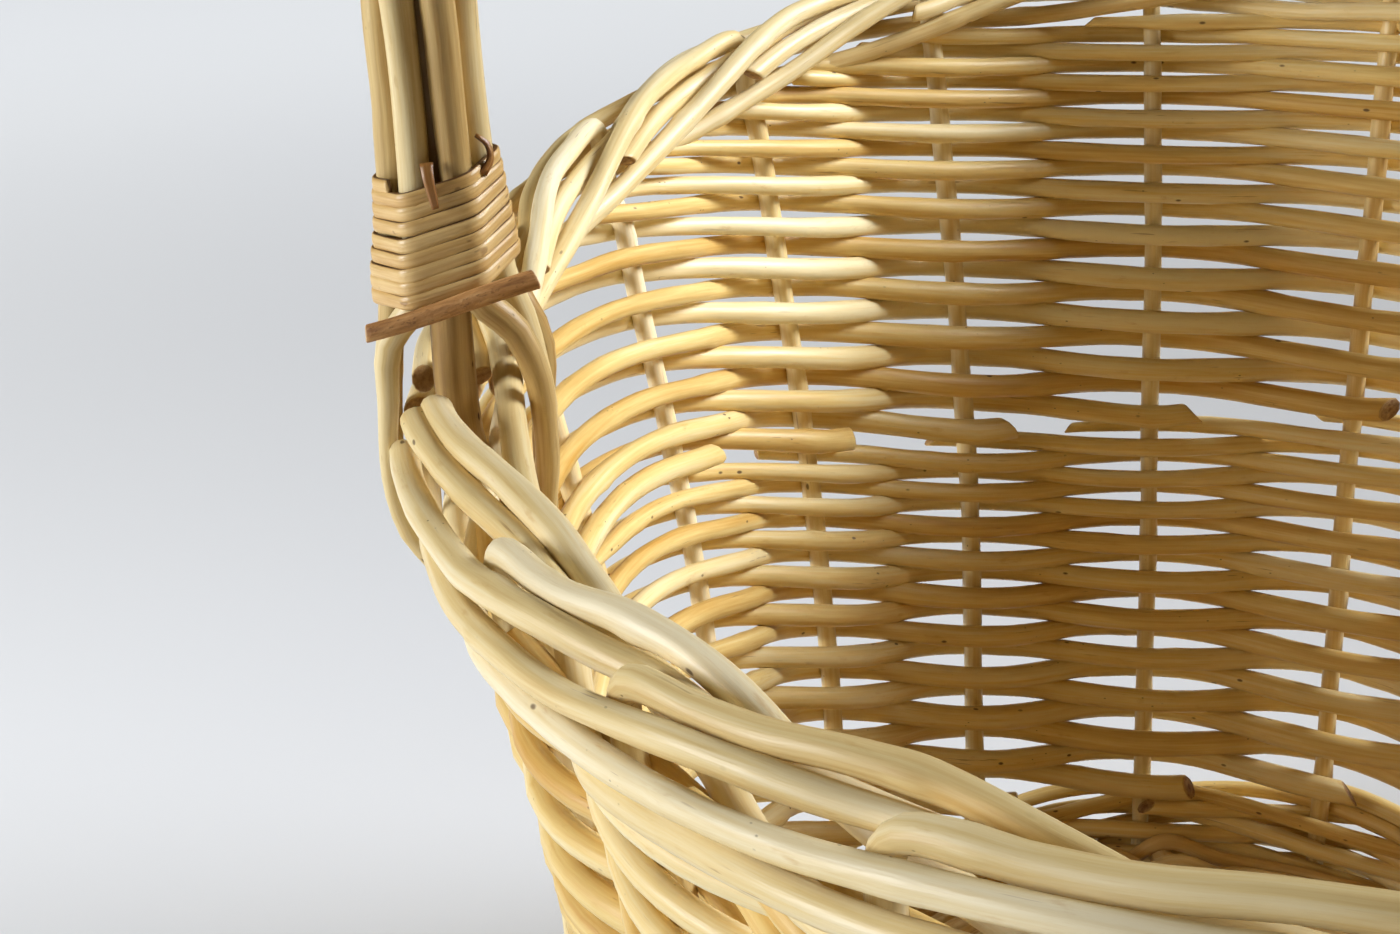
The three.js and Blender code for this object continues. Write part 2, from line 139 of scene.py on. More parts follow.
# -------------------------------------------------------------------- rod mesh
class Rods:
    """Collects swept rods for one mesh, with their own long coordinates."""

    def __init__(self):
        self.v, self.f, self.co, self.tone, self.cut, self.n = [], [], [], [], [], 0

    def add(self, pts, rad, rng, sides=12, tone=0.0, ends=((0.0, 0.0), (0.0, 0.0)), flat=None, knots=True):
        """ends: (slope of the cut, angle it faces) for the first and last end."""
        P = np.asarray(pts, float)
        N = len(P)
        rad = np.broadcast_to(np.asarray(rad, float), (N,)).copy()
        T = np.gradient(P, axis=0)
        T /= np.linalg.norm(T, axis=1)[:, None]
        L = np.r_[0.0, np.cumsum(np.linalg.norm(np.diff(P, axis=0), axis=1))]
        # frames carried along without twist
        up = np.array([0.0, 0.0, 1.0]) if abs(T[0, 2]) < 0.9 else np.array([1.0, 0.0, 0.0])
        n = np.cross(np.cross(T[0], up), T[0])
        n /= np.linalg.norm(n)
        Ns = np.empty_like(P)
        Ns[0] = n
        for i in range(1, N):
            n = n - T[i] * (n @ T[i])
            n /= np.linalg.norm(n)
            Ns[i] = n
        Bs = np.cross(T, Ns)
        phi = np.arange(sides) / sides * 2 * math.pi
        # not quite round, and a little swollen at the buds
        R = np.repeat(rad[:, None], sides, 1)
        lobe = Waver(rng, (90.0, 37.0))
        R *= 1 + 0.035 * np.cos(2 * phi[None] + 2.5 * lobe(L)[:, None] + rng.uniform(0, 6.28))
        R *= (1 + 0.03 * Waver(rng, (60.0, 23.0))(L))[:, None]
        if knots and L[-1] > 30:
            at = rng.uniform(4, 30)
            side = rng.uniform(0, 6.28)
            while at < L[-1] - 4:
                d = (L - at) / 2.6
                R += (0.05 * rad[:, None] * np.exp(-d ** 2)[:, None]
                      + 0.10 * rad[:, None] * np.exp(-d ** 2)[:, None] * np.exp(-(2.0 - 2 * np.cos(phi[None] - side)) / 0.35))
                at += rng.uniform(28, 62)
                side += 2.4 + rng.uniform(-0.3, 0.3)
        C, S = np.cos(phi), np.sin(phi)
        shift = np.zeros((N, sides))
        reach = 2.2 * rad.mean()
        for (slope, face), dist in zip(ends, (L, L[-1] - L)):
            if slope:
                fall = np.clip(1 - dist / (abs(slope) * reach + reach), 0, 1)
                shift += np.outer(fall * slope, np.cos(phi - face)) * rad[:, None]
        if flat is not None:     # pressed flatter where flat > 0, across direction Bs
            sq = np.asarray(flat)[:, None]
            x = R * C[None] * (1 + 0.25 * sq)
            y = R * S[None] * (1 - 0.25 * sq)
        else:
            x, y = R * C[None], R * S[None]
        V = P[:, None] + Ns[:, None] * x[..., None] + Bs[:, None] * y[..., None] + T[:, None] * shift[..., None]
        base = self.n
        off = rng.uniform(-500, 500, 3)
        co = np.stack([x, y, np.repeat(L[:, None], sides, 1)], -1) + off
        self.v.append(V.reshape(-1, 3))
        self.co.append(co.reshape(-1, 3))
        self.cut.append(np.zeros(N * sides))
        i = np.arange(N - 1)[:, None] * sides
        j = np.arange(sides)[None]
        k = (j + 1) % sides
        q = np.stack([base + i + j, base + i + k, base + i + sides + k, base + i + sides + j], -1)
        self.f.extend(q.reshape(-1, 4).tolist())
        self.n += N * sides
        # cut ends: a narrow chamfer, then the end grain with its pith
        for e, flip in ((0, True), (N - 1, False)):
            ring = V[e]
            c = ring.mean(0)
            out = T[e] * (-1 if flip else 1)
            rings = [(1.0, 0.0, 0.35), (0.86, 0.16, 1.0), (0.30, 0.14, 1.0)]
            start = self.n
            for sc, push, cut in rings:
                self.v.append(c + (ring - c) * sc + out * push * rad[e])
                self.co.append(np.stack([x[e] * sc, y[e] * sc, np.full(sides, L[e])], -1) + off)
                self.cut.append(np.full(sides, cut))
            self.v.append((c + out * 0.08 * rad[e])[None])
            self.co.append((np.array([0, 0, L[e]]) + off)[None])
            self.cut.append(np.full(1, 1.3))
            edge = base + e * sides
            levels = [edge, start + sides, start + 2 * sides]
            for a, b in zip(levels[:-1], levels[1:]):
                for m in range(sides):
                    w = (m + 1) % sides
                    face = [a + m, a + w, b + w, b + m]
                    self.f.append(face[::-1] if flip else face)
            top = start + 3 * sides
            for m in range(sides):
                w = (m + 1) % sides
                face = [levels[-1] + m, levels[-1] + w, top]
                self.f.append(face[::-1] if flip else face)
            self.n += 3 * sides + 1
        self.tone.append(np.full(self.n - base, tone))

    def object(self, name, material, node_names):
        V = np.vstack(self.v)
        used = np.zeros(len(V), bool)
        for f in self.f:
            used[f] = True
        index = np.cumsum(used) - 1
        me = bpy.data.meshes.new(name)
        me.from_pydata((V[used] * 0.001).tolist(), [], [[int(index[i]) for i in f] for f in self.f])
        for key, data, kind in (("rod_co", np.vstack(self.co)[used], "FLOAT_VECTOR"),
                                ("tone", np.concatenate(self.tone)[used], "FLOAT"),
                                ("cut", np.concatenate(self.cut)[used], "FLOAT")):
            at = me.attributes.new(key, kind, "POINT")
            at.data.foreach_set("vector" if kind == "FLOAT_VECTOR" else "value", data.astype(np.float32).ravel())
        me.polygons.foreach_set("use_smooth", [True] * len(me.polygons))
        me.materials.append(material)
        me.update()
        ob = bpy.data.objects.new(name, me)
        bpy.context.scene.collection.objects.link(ob)
        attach(ob, "root")
        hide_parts(*node_names)
        return ob


# ------------------------------------------------------------------- materials
def srgb(r, g, b):
    f = lambda c: c / 12.92 if c <= 0.04045 else ((c + 0.055) / 1.055) ** 2.4
    return (f(r / 255), f(g / 255), f(b / 255), 1.0)


class Nodes:
    def __init__(self, name):
        self.mat = bpy.data.materials.new(name)
        self.mat.use_nodes = True
        self.t = self.mat.node_tree
        self.t.nodes.clear()
        self.out = self.t.nodes.new("ShaderNodeOutputMaterial")
        self.bsdf = self.t.nodes.new("ShaderNodeBsdfPrincipled")
        self.t.links.new(self.bsdf.outputs[0], self.out.inputs[0])

    def new(self, kind, **props):
        n = self.t.nodes.new(kind)
        for k, v in props.items():
            setattr(n, k, v)
        return n

    def link(self, a, b):
        self.t.links.new(a, b)

    def attr(self, name, out):
        return self.new("ShaderNodeAttribute", attribute_name=name).outputs[out]

    def math(self, op, a, b=None, c=None, clamp=False):
        n = self.new("ShaderNodeMath", operation=op, use_clamp=clamp)
        for i, x in enumerate((a, b, c)):
            if x is None:
                continue
            if isinstance(x, (int, float)):
                n.inputs[i].default_value = x
            else:
                self.link(x, n.inputs[i])
        return n.outputs[0]

    def scaled(self, vec, sx, sy, sz):
        n = self.new("ShaderNodeVectorMath", operation="MULTIPLY")
        self.link(vec, n.inputs[0])
        n.inputs[1].default_value = (sx, sy, sz)
        return n.outputs[0]

    def noise(self, vec, scale, detail=3.0, rough=0.55, distortion=0.0):
        n = self.new("ShaderNodeTexNoise")
        self.link(vec, n.inputs["Vector"])
        n.inputs["Scale"].default_value = scale
        n.inputs["Detail"].default_value = detail
        n.inputs["Roughness"].default_value = rough
        n.inputs["Distortion"].default_value = distortion
        return n.outputs["Fac"]

    def ramp(self, fac, stops):
        n = self.new("ShaderNodeValToRGB")
        el = n.color_ramp.elements
        while len(el) < len(stops):
            el.new(0.5)
        for e, (p, c) in zip(el, stops):
            e.position = p
            e.color = c if len(c) == 4 else (*c, 1.0)
        self.link(fac, n.inputs[0])
        return n.outputs[0]

    def mix(self, fac, a, b, mode="MIX"):
        n = self.new("ShaderNodeMix", data_type="RGBA", blend_type=mode)
        n.clamp_factor = True
        for i, x in ((0, fac), (6, a), (7, b)):
            if isinstance(x, (int, float)):
                n.inputs[i].default_value = x
            elif isinstance(x, tuple):
                n.inputs[i].default_value = x
            else:
                self.link(x, n.inputs[i])
        return n.outputs[2]

    def step(self, x, lo, hi):
        n = self.new("ShaderNodeMapRange", interpolation_type="SMOOTHSTEP")
        self.link(x, n.inputs[0])
        n.inputs[1].default_value = lo
        n.inputs[2].default_value = hi
        return n.outputs[0]


def willow(name, pale, straw, amber, rough=0.42, speck=1.0, seed=0.0, bark=0.0):
    """Peeled willow: streaks along the rod, slow patches, specks and bud scars."""
    N = Nodes(name)
    co = N.attr("rod_co", "Vector")
    tone = N.attr("tone", "Fac")
    cut = N.attr("cut", "Fac")
    shifted = N.new("ShaderNodeVectorMath", operation="ADD")
    N.link(co, shifted.inputs[0])
    shifted.inputs[1].default_value = (seed, seed * 0.7, seed * 1.3)
    co = shifted.outputs[0]
    streak = N.noise(N.scaled(co, 1.0, 1.0, 0.028), 1.15, 4.0, 0.62)
    fine = N.noise(N.scaled(co, 1.0, 1.0, 0.05), 4.2, 3.0, 0.6)
    patch = N.noise(N.scaled(co, 0.3, 0.3, 0.02), 1.0, 3.0, 0.5)
    blot = N.noise(N.scaled(co, 0.5, 0.5, 0.14), 1.0, 4.0, 0.6)
    # colour along the rod
    f = N.math("MULTIPLY_ADD", streak, 0.55, N.math("MULTIPLY", patch, 0.55))
    f = N.math("ADD", f, N.math("MULTIPLY", tone, 0.22))
    col = N.ramp(f, [(0.30, pale), (0.56, straw), (0.86, amber)])
    col = N.mix(N.math("MULTIPLY", N.step(fine, 0.55, 0.80), 0.35), col, N.mix(0.55, amber, straw))
    col = N.mix(N.math("MULTIPLY", N.step(blot, 0.60, 0.78), 0.45), col, amber)
    # thin brown scratches where the peeling brake caught the bark
    line = N.noise(N.scaled(co, 1.6, 1.6, 0.09), 1.0, 2.0, 0.5)
    where = N.noise(N.scaled(co, 0.16, 0.16, 0.035), 1.0, 2.0, 0.5)
    scratch = N.math("MULTIPLY", N.step(line, 0.66, 0.72), N.step(where, 0.52, 0.62))
    col = N.mix(N.math("MULTIPLY", scratch, 0.5 * speck), col, srgb(132, 86, 44))
    # bud scars and specks
    vor = N.new("ShaderNodeTexVoronoi", feature="F1")
    N.link(N.scaled(co, 0.34, 0.34, 0.16), vor.inputs["Vector"])
    vor.inputs["Scale"].default_value = 1.0
    spots = N.math("SUBTRACT", 1.0, N.step(vor.outputs["Distance"], 0.07, 0.15))
    pick = N.new("ShaderNodeSeparateColor")
    N.link(vor.outputs["Color"], pick.inputs[0])
    some = N.step(pick.outputs[0], 0.88, 0.91)
    spots = N.math("MULTIPLY", spots, some)
    vor2 = N.new("ShaderNodeTexVoronoi", feature="F1")
    N.link(N.scaled(co, 1.1, 1.1, 0.6), vor2.inputs["Vector"])
    vor2.inputs["Scale"].default_value = 1.0
    pick2 = N.new("ShaderNodeSeparateColor")
    N.link(vor2.outputs["Color"], pick2.inputs[0])
    dots = N.math("MULTIPLY", N.math("SUBTRACT", 1.0, N.step(vor2.outputs["Distance"], 0.10, 0.22)),
                  N.math("MULTIPLY", N.step(pick2.outputs[0], 0.88, 0.92), N.step(where, 0.52, 0.64)))
    marks = N.math("MAXIMUM", spots, N.math("MULTIPLY", dots, 0.8))
    col = N.mix(N.math("MULTIPLY", marks, 0.85 * speck), col, srgb(74, 44, 24))
    # end grain: pale ring, darker rim and pith
    pith = N.noise(co, 0.9, 3.0, 0.6)
    grain = N.ramp(N.math("ADD", N.math("MULTIPLY", cut, 0.45), N.math("MULTIPLY", pith, 0.5)),
                   [(0.30, srgb(146, 104, 58)), (0.58, srgb(200, 164, 108)), (0.80, srgb(132, 92, 52))])
    col = N.mix(N.step(cut, 0.15, 0.7), col, grain)
    N.link(col, N.bsdf.inputs["Base Color"])
    r = N.math("MULTIPLY_ADD", streak, 0.30, rough - 0.15)
    r = N.math("ADD", r, N.math("MULTIPLY", marks, 0.25), clamp=True)
    r = N.math("MULTIPLY_ADD", N.step(cut, 0.15, 0.7), 0.3, r, clamp=True)
    N.link(r, N.bsdf.inputs["Roughness"])
    N.bsdf.inputs["Specular IOR Level"].default_value = 0.42
    h = N.math("MULTIPLY_ADD", fine, 0.5, N.math("MULTIPLY", streak, 0.6))
    h = N.math("SUBTRACT", h, N.math("MULTIPLY", marks, 0.5))
    bump = N.new("ShaderNodeBump")
    bump.inputs["Strength"].default_value = 0.35
    bump.inputs["Distance"].default_value = 0.00022
    N.link(h, bump.inputs["Height"])
    N.link(bump.outputs[0], N.bsdf.inputs["Normal"])
    return N.mat


def bark(name):
    N = Nodes(name)
    co = N.attr("rod_co", "Vector")
    cut = N.attr("cut", "Fac")
    a = N.noise(N.scaled(co, 1.0, 1.0, 0.12), 1.1, 4.0, 0.6)
    b = N.noise(N.scaled(co, 1.0, 1.0, 0.5), 2.2, 3.0, 0.6)
    col = N.ramp(a, [(0.28, srgb(136, 88, 46)), (0.52, srgb(192, 140, 82)), (0.75, srgb(218, 172, 114))])
    col = N.mix(N.math("MULTIPLY", N.step(b, 0.56, 0.7), 0.5), col, srgb(92, 52, 30))
    pith = N.noise(co, 1.0, 3.0, 0.6)
    grain = N.ramp(pith, [(0.35, srgb(196, 158, 110)), (0.7, srgb(226, 200, 158))])
    col = N.mix(N.step(cut, 0.3, 0.8), col, grain)
    N.link(col, N.bsdf.inputs["Base Color"])
    N.link(N.math("MULTIPLY_ADD", a, 0.3, 0.42), N.bsdf.inputs["Roughness"])
    bump = N.new("ShaderNodeBump")
    bump.inputs["Strength"].default_value = 0.6
    bump.inputs["Distance"].default_value = 0.0004
    N.link(N.math("ADD", a, b), bump.inputs["Height"])
    N.link(bump.outputs[0], N.bsdf.inputs["Normal"])
    return N.mat


def skein(name):
    N = Nodes(name)
    co = N.attr("rod_co", "Vector")
    tone = N.attr("tone", "Fac")
    cut = N.attr("cut", "Fac")
    fibre = N.noise(N.scaled(co, 1.0, 1.0, 0.03), 2.6, 4.0, 0.6)
    patch = N.noise(N.scaled(co, 0.4, 0.4, 0.06), 1.0, 3.0, 0.55)
    f = N.math("MULTIPLY_ADD", fibre, 0.45, N.math("MULTIPLY", patch, 0.6))
    f = N.math("ADD", f, N.math("MULTIPLY", tone, 0.2))
    col = N.ramp(f, [(0.30, srgb(234, 203, 142)), (0.54, srgb(210, 170, 104)), (0.84, srgb(158, 108, 55))])
    # The strip's sides are painted dark brown: painted shade in the gaps between the turns.
    edge = N.step(cut, 0.2, 0.9)
    col = N.mix(N.math("MULTIPLY", edge, 0.9), col, srgb(80, 44, 20))
    crack = N.noise(N.scaled(co, 0.5, 0.5, 0.35), 1.0, 2.0, 0.5)
    col = N.mix(N.math("MULTIPLY", N.step(crack, 0.66, 0.72), 0.5), col, srgb(120, 72, 36))
    N.link(col, N.bsdf.inputs["Base Color"])
    N.link(N.math("MULTIPLY_ADD", fibre, 0.25, 0.24), N.bsdf.inputs["Roughness"])
    N.bsdf.inputs["Specular IOR Level"].default_value = 0.55
    bump = N.new("ShaderNodeBump")
    bump.inputs["Strength"].default_value = 0.4
    bump.inputs["Distance"].default_value = 0.0003
    N.link(fibre, bump.inputs["Height"])
    N.link(bump.outputs[0], N.bsdf.inputs["Normal"])
    return N.mat


M_RIM = willow("willow_rim", srgb(246, 234, 199), srgb(231, 208, 150), srgb(202, 161, 88), 0.40, 0.9, 0.0)
M_SIDE = willow("willow_siding", srgb(246, 231, 184), srgb(233, 204, 132), srgb(203, 154, 68), 0.42, 1.0, 41.0)
# The handle rods' willow is a little darker than the rim's: painted shade for the handle.
M_HANDLE_PAINTED_SHADE = willow("willow_handle", srgb(242, 227, 182), srgb(220, 194, 134), srgb(174, 136, 74), 0.40, 1.0, 87.0)
# The bow's willow is painted darker than the other rods: painted shade for the crevices between the wrapping rods.
M_BOW_PAINTED_SHADE = willow("willow_bow_painted_shade", srgb(216, 192, 136), srgb(190, 158, 98), srgb(144, 108, 58), 0.44, 1.2, 61.0)
M_BASE = willow("willow_base", srgb(236, 216, 166), srgb(218, 184, 118), srgb(186, 140, 72), 0.46, 1.0, 133.0)
M_BARK = bark("willow_bark")
M_SKEIN = skein("willow_skein")

# ------------------------------------------------------------------------- rim
# A rim rod's way past its own stake: spacings along, outwards, above the rim.
RIM_BEND = [(0.0, 0.3, -5.0), (0.0, 1.1, 2.0), (0.012, 1.3, 5.4), (0.055, 1.2, 7.7), (0.14, 0.8, 8.5)]
RIM_WAY = [
    (0.30, 0.07, 8.45), (0.55, -1.43, 8.95), (0.80, -3.91, 9.28), (1.05, -6.30, 8.47), (1.30, -7.25, 5.91),
    (1.60, -7.14, 2.30), (1.90, -6.59, -0.56), (2.20, -5.13, -2.78), (2.46, -2.00, -4.46), (2.75, 2.08, -4.76),
    (3.00, 4.94, -3.85), (3.50, 6.00, -1.71), (3.90, 6.41, 0.16), (4.30, 6.48, 2.00), (4.70, 6.10, 3.84),
    (5.10, 5.20, 5.70), (5.40, 3.60, 6.60), (5.70, 0.49, 6.51), (6.00, -2.78, 5.89), (6.30, -3.00, 5.38),
    (6.70, -4.27, 4.55), (7.10, -6.33, 2.70),
]
WAY = np.array(RIM_WAY)
_way = through(WAY * (SPACING, 1, 1), 1.5) / (SPACING, 1, 1)


def rim_way(w):
    return np.interp(w, _way[:, 0], _way[:, 1]), np.interp(w, _way[:, 0], _way[:, 2])


def to_foot(k):
    return FOOT_SHARE + 9 - (k % 10)


def clear_of(d):
    """The same way, but clear of the handle's bow, which is d past the stake."""
    def way(w):
        r, up = rim_way(w)
        near = np.clip(1 - (np.abs(w - d) / 0.14) ** 4, 0, 1)
        return r + near * (np.sign(r) * np.maximum(5.8, np.abs(r)) - r), up
    return way


def rim_tail(k, lo, hi, rng, way=rim_way, lead=None):
    w = np.arange(lo, hi, 0.055)
    w = np.r_[w, hi]
    r, up = way(w)
    fade = smooth((w - lo) / 0.5)
    r = r + 0.35 * Waver(rng, (1.9, 0.9))(w) * fade
    up = up + 0.35 * Waver(rng, (1.9, 0.9))(w) * fade
    if lead is not None:
        fall = np.exp(-((w - lo) / lead[2]) ** 1.6)
        r, up = r + lead[0] * fall, up + lead[1] * fall
    return rim(k + 0.5 + w, r, up)


def rod_seed(*key):
    return np.random.default_rng([7, *key])


for k in range(STAKES):
    rng = rod_seed(1, k)
    s0 = k + 0.5
    top = rim_height(ang(s0)) - RIM_CLEAR
    z = np.r_[np.arange(3.0, top - 4, 5.0), top]
    lean = Waver(rng, (120.0, 55.0))
    upright = wall(s0 + 0.006 * lean(z), z, 0.25 * Waver(rng, (90.0, 40.0))(z))
    d = to_foot(k)
    stop = d - 0.10 if k % 10 in (9, 5, 4, 3) else 7.1 + rng.uniform(-0.08, 0.1)
    bend = np.array([rim(s0 + w, r, up) for w, r, up in RIM_BEND if w < stop])
    line = [upright[:-1], bend]
    if stop > 1:
        line.append(rim_tail(k, 0.30, stop, rng, clear_of(d) if d < stop else rim_way))
    line = through(np.vstack(line), 3.0)
    # past the bend the sweep needs closer rings
    L = np.r_[0.0, np.cumsum(np.linalg.norm(np.diff(line, axis=0), axis=1))]
    rad = STAKE_R * rng.uniform(0.95, 1.07) * (1.04 - 0.14 * L / L[-1])
    mesh = Rods()
    mesh.add(line, rad, rng, sides=14, tone=rng.normal(0, 0.5), ends=((0, 0), (0.9, rng.uniform(0, 6.28))))
    mesh.object("rod_stake_%02d" % (k + 1), M_RIM, ["stake_%02d" % (k + 1)])

# Spare rods that carry the rim on from each handle foot.
LEADS = [(3.0, -0.6, 0.34), (2.0, 0.0, 0.40), (1.8, -0.9, 0.40)]
for side, base in (("right", 0), ("left", 10)):
    for i, (k, lo) in enumerate(((9, 0.30), (4, 5.30), (5, 4.30))):
        rng = rod_seed(2, base + i)
        mesh = Rods()
        line = through(rim_tail(k + base, lo, 7.1, rng, lead=LEADS[i]), 3.0)
        L = np.linspace(0, 1, len(line))
        mesh.add(line, STAKE_R * (1.06 - 0.12 * L), rng, sides=14, tone=rng.normal(-0.2, 0.4),
                 ends=((0.5, rng.uniform(0, 6.28)), (0.9, rng.uniform(0, 6.28))))
        mesh.object("rod_rim_%s_%d" % (side, i + 1), M_RIM, ["rim_rod_%s_%d" % (side, i + 1)])

# ---------------------------------------------------------------------- siding
LOW0 = WALE_TOP + 2.4
ROWS = 20


def lower_height(n, s):
    u = n / (ROWS - 1.0)
    return LOW0 + (JOIN - 2.8 - LOW0) * (1.3 * u - 0.3 * u * u) + join_lift(ang(s))


def upper_height(n, s):
    u = np.maximum(n / ROWS, 0.0)
    full = RIM_Z + RIM_RISE - RIM_CLEAR - 1.0 - JOIN - 1.4
    lift = join_lift(ang(s)) * (0.66 + 0.34 * np.exp(-u / 0.12))
    return JOIN + 1.4 + lift + full * (1.33 * u - 0.33 * u * u)


def runs(keep, least):
    """Stretches of True in keep that are at least so many places long."""
    edges = np.flatnonzero(np.diff(np.r_[False, keep, False].astype(int)))
    return [(a, b) for a, b in edges.reshape(-1, 2) if b - a >= least]


OUT_DROP = -0.45       # passes outside the stakes lie a little lower
STEP = 0.105
for part, height, butt, tip in (("lower", lower_height, 3.0, 2.0), ("upper", upper_height, 2.75, 1.85)):
    for i in range(STAKES):
        rng = rod_seed(3 if part == "lower" else 4, i)
        last = 19.3 + rng.uniform(-0.1, 0.15) if part == "lower" else 20.3
        n = np.arange(-rng.uniform(0.14, 0.26), last, STEP)
        s = i + 0.5 + n
        thick = (butt + (tip - butt) * smooth(n / ROWS * 0.9 + 0.05)) * rng.uniform(0.94, 1.06)
        # the rods run on straight past the stakes next to the left handle foot and
        # change sides only just before the stake past it
        w = (s - 17.5) % 20
        turn = np.where((w > 2) & (w < 3), n - (w - 2) + np.clip((w - 2.42) / 0.58, 0, 1), n)
        swing = -np.cos(math.pi * turn)
        swing = np.sign(swing) * np.abs(swing) ** 0.92      # straighter between the stakes
        swing = np.where(w < 2, (-1.0) ** i, swing)
        thick = thick * (1 - 0.4 * smooth((n - last + 0.45) / 0.4))      # thin tips
        thick = thick * (1 - (0.22 if part == "upper" else 0.10) * smooth((np.abs(np.cos(ang(s))) - 0.45) / 0.4))
        zz = height(n, s) + OUT_DROP * swing + 0.32 * Waver(rng, (6.3, 2.7, 1.3))(n)
        # the upper rods run up under the rim near the handle feet and are cut there,
        # and others take their place past the foot
        keep = zz < rim_height(ang(s)) - RIM_CLEAR + 4.2 if part == "upper" else np.ones(len(n), bool)
        for run, (a, b) in enumerate(runs(keep, 10)):
            rad = thick[a:b]
            r = (STAKE_R + rad - 0.15) * swing[a:b] + 0.28 * Waver(rng, (5.1, 2.3))(n[a:b])
            if part == "upper":
                r *= 1 - 0.7 * smooth((zz[a:b] - rim_height(ang(s[a:b])) + RIM_CLEAR + 3.0) / 6.0)
            mesh = Rods()
            mesh.add(wall(s[a:b], zz[a:b], r), rad, rng, sides=10, tone=rng.normal(0, 0.45),
                     ends=((0.8, rng.uniform(0, 6.28)), (1.2, rng.uniform(0, 6.28))))
            mesh.object("rod_siding_%s_%02d" % (part, i + 1) + ("" if run == 0 else "_%d" % run),
                        M_SIDE, ["siding_" + part])

# Packing: short rows on the foot wale that raise the siding at each handle foot.
for side, base in (("right", 0), ("left", 10)):
    for j in range(7):
        rng = rod_seed(6, base + j)
        s = np.arange(base + 5.0, base + 15.0, STEP)
        room = join_lift(ang(s)) - 4.7 * j > 4.0
        for a, b in runs(room, 10):
            q = s[a:b]
            swing = -np.cos(math.pi * (q - 0.5 + j))
            rad = 2.45 * rng.uniform(0.92, 1.06) * np.ones(len(q))
            z = LOW0 - 0.4 + 4.7 * j + 0.3 * Waver(rng, (6.3, 2.7))(q)
            mesh = Rods()
            mesh.add(wall(q, z, (STAKE_R + rad - 0.15) * swing), rad, rng, sides=10, tone=rng.normal(0, 0.45),
                     ends=((0.8, rng.uniform(0, 6.28)), (0.8, rng.uniform(0, 6.28))))
            mesh.object("rod_packing_%s_%d" % (side, j + 1), M_SIDE, ["siding_lower"])

# Foot wale: three rods worked together, in front of two stakes and behind one.
for j in range(3):
    rng = rod_seed(5, j)
    n = np.arange(0, 50, 0.105) + j
    s = n + 0.5 + 4
    z = 4.5 + 16.6 * (n - j) / 50.0 + 1.9 * np.cos(2 * math.pi * (n - j + 0.25) / 3.0)
    r = 0.9 + 5.0 * np.cos(2 * math.pi * (n - j - 0.5) / 3.0) + 0.2 * Waver(rng, (5.0, 2.0))(n)
    z = z + 0.3 * Waver(rng, (5.0, 2.2))(n)
    mesh = Rods()
    mesh.add(wall(s, z, r), 2.35 - 0.4 * (n - j) / 50.0, rng, sides=10, tone=rng.normal(0, 0.5),
             ends=((0.8, 1.0), (1.0, 2.0)))
    mesh.object("rod_wale_%d" % (j + 1), M_SIDE, ["foot_wale"])

# ------------------------------------------------------------------------ base
BASE_A = RIM_A + float(wall_offset(2.0)) - 5.9
BASE_B = RIM_B + float(wall_offset(2.0)) - 5.9
STICK_Z = 9.4
boxes = {n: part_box(n) for n in ["base_long_stick_%d" % i for i in (1, 2, 3)] + ["base_cross_stick_%d" % i for i in range(1, 6)]}
sticks = []
for name, (lo, hi) in boxes.items():
    lo, hi = np.array(lo) * 1000, np.array(hi) * 1000
    rng = rod_seed(6, len(sticks))
    mid = (lo + hi) / 2
    along = 1 if "long" in name else 0
    t = np.linspace(lo[along] + 0.3, hi[along] - 0.3, 48)
    line = np.repeat(mid[None], len(t), 0)
    line[:, along] = t
    line[:, 1 - along] += 0.5 * Waver(rng, (160.0, 70.0))(t)
    line[:, 2] = STICK_Z
    mesh = Rods()
    mesh.add(line, 3.2 if along else 3.9, rng, sides=12, tone=rng.normal(0.1, 0.4), ends=((0.4, 0.0), (0.4, 3.0)))
    mesh.object("rod_" + name, M_BASE, [name])
    sticks.append((along, mid[1 - along]))
ROUNDS = 22
for i in range(ROUNDS):
    rng = rod_seed(8, i)
    b = 64.0 + (BASE_B - 2.2 - 64.0) * i / (ROUNDS - 1)
    a = 22.0 + (BASE_A - 2.2 - 22.0) * i / (ROUNDS - 1)
    t = np.linspace(0, 2 * math.pi, 260) + rng.uniform(0, 6.28)
    x, y = a * np.cos(t), b * np.sin(t)
    lift = np.zeros_like(t)
    hits = []
    for along, at in sticks:
        span = b if along else a
        across = a if along else b
        if abs(at) >= across * 0.985:
            continue
        for sign in (1, -1):
            p = (at, sign * b * math.sqrt(1 - (at / a) ** 2)) if along else (sign * a * math.sqrt(1 - (at / b) ** 2), at)
            hits.append((math.atan2(p[1] / b, p[0] / a), p))
    hits.sort()
    tt = (t + math.pi) % (2 * math.pi) - math.pi
    for h, (th, p) in enumerate(hits):
        up = 1 if (h + i) % 2 else -1
        d = np.hypot(x - p[0], y - p[1])
        lift += up * 5.3 * np.exp(-(d / 9.5) ** 2)
    z = STICK_Z - 0.6 + np.clip(lift, -5.4, 5.4) + 0.3 * Waver(rng, (1.3, 0.6))(t)
    mesh = Rods()
    mesh.add(np.stack([x, y, z], -1), 2.05 + 0.1 * rng.normal(), rng, sides=8, tone=rng.normal(0.1, 0.5))
    mesh.object("rod_base_%02d" % (i + 1), M_BASE, ["base_weave"])

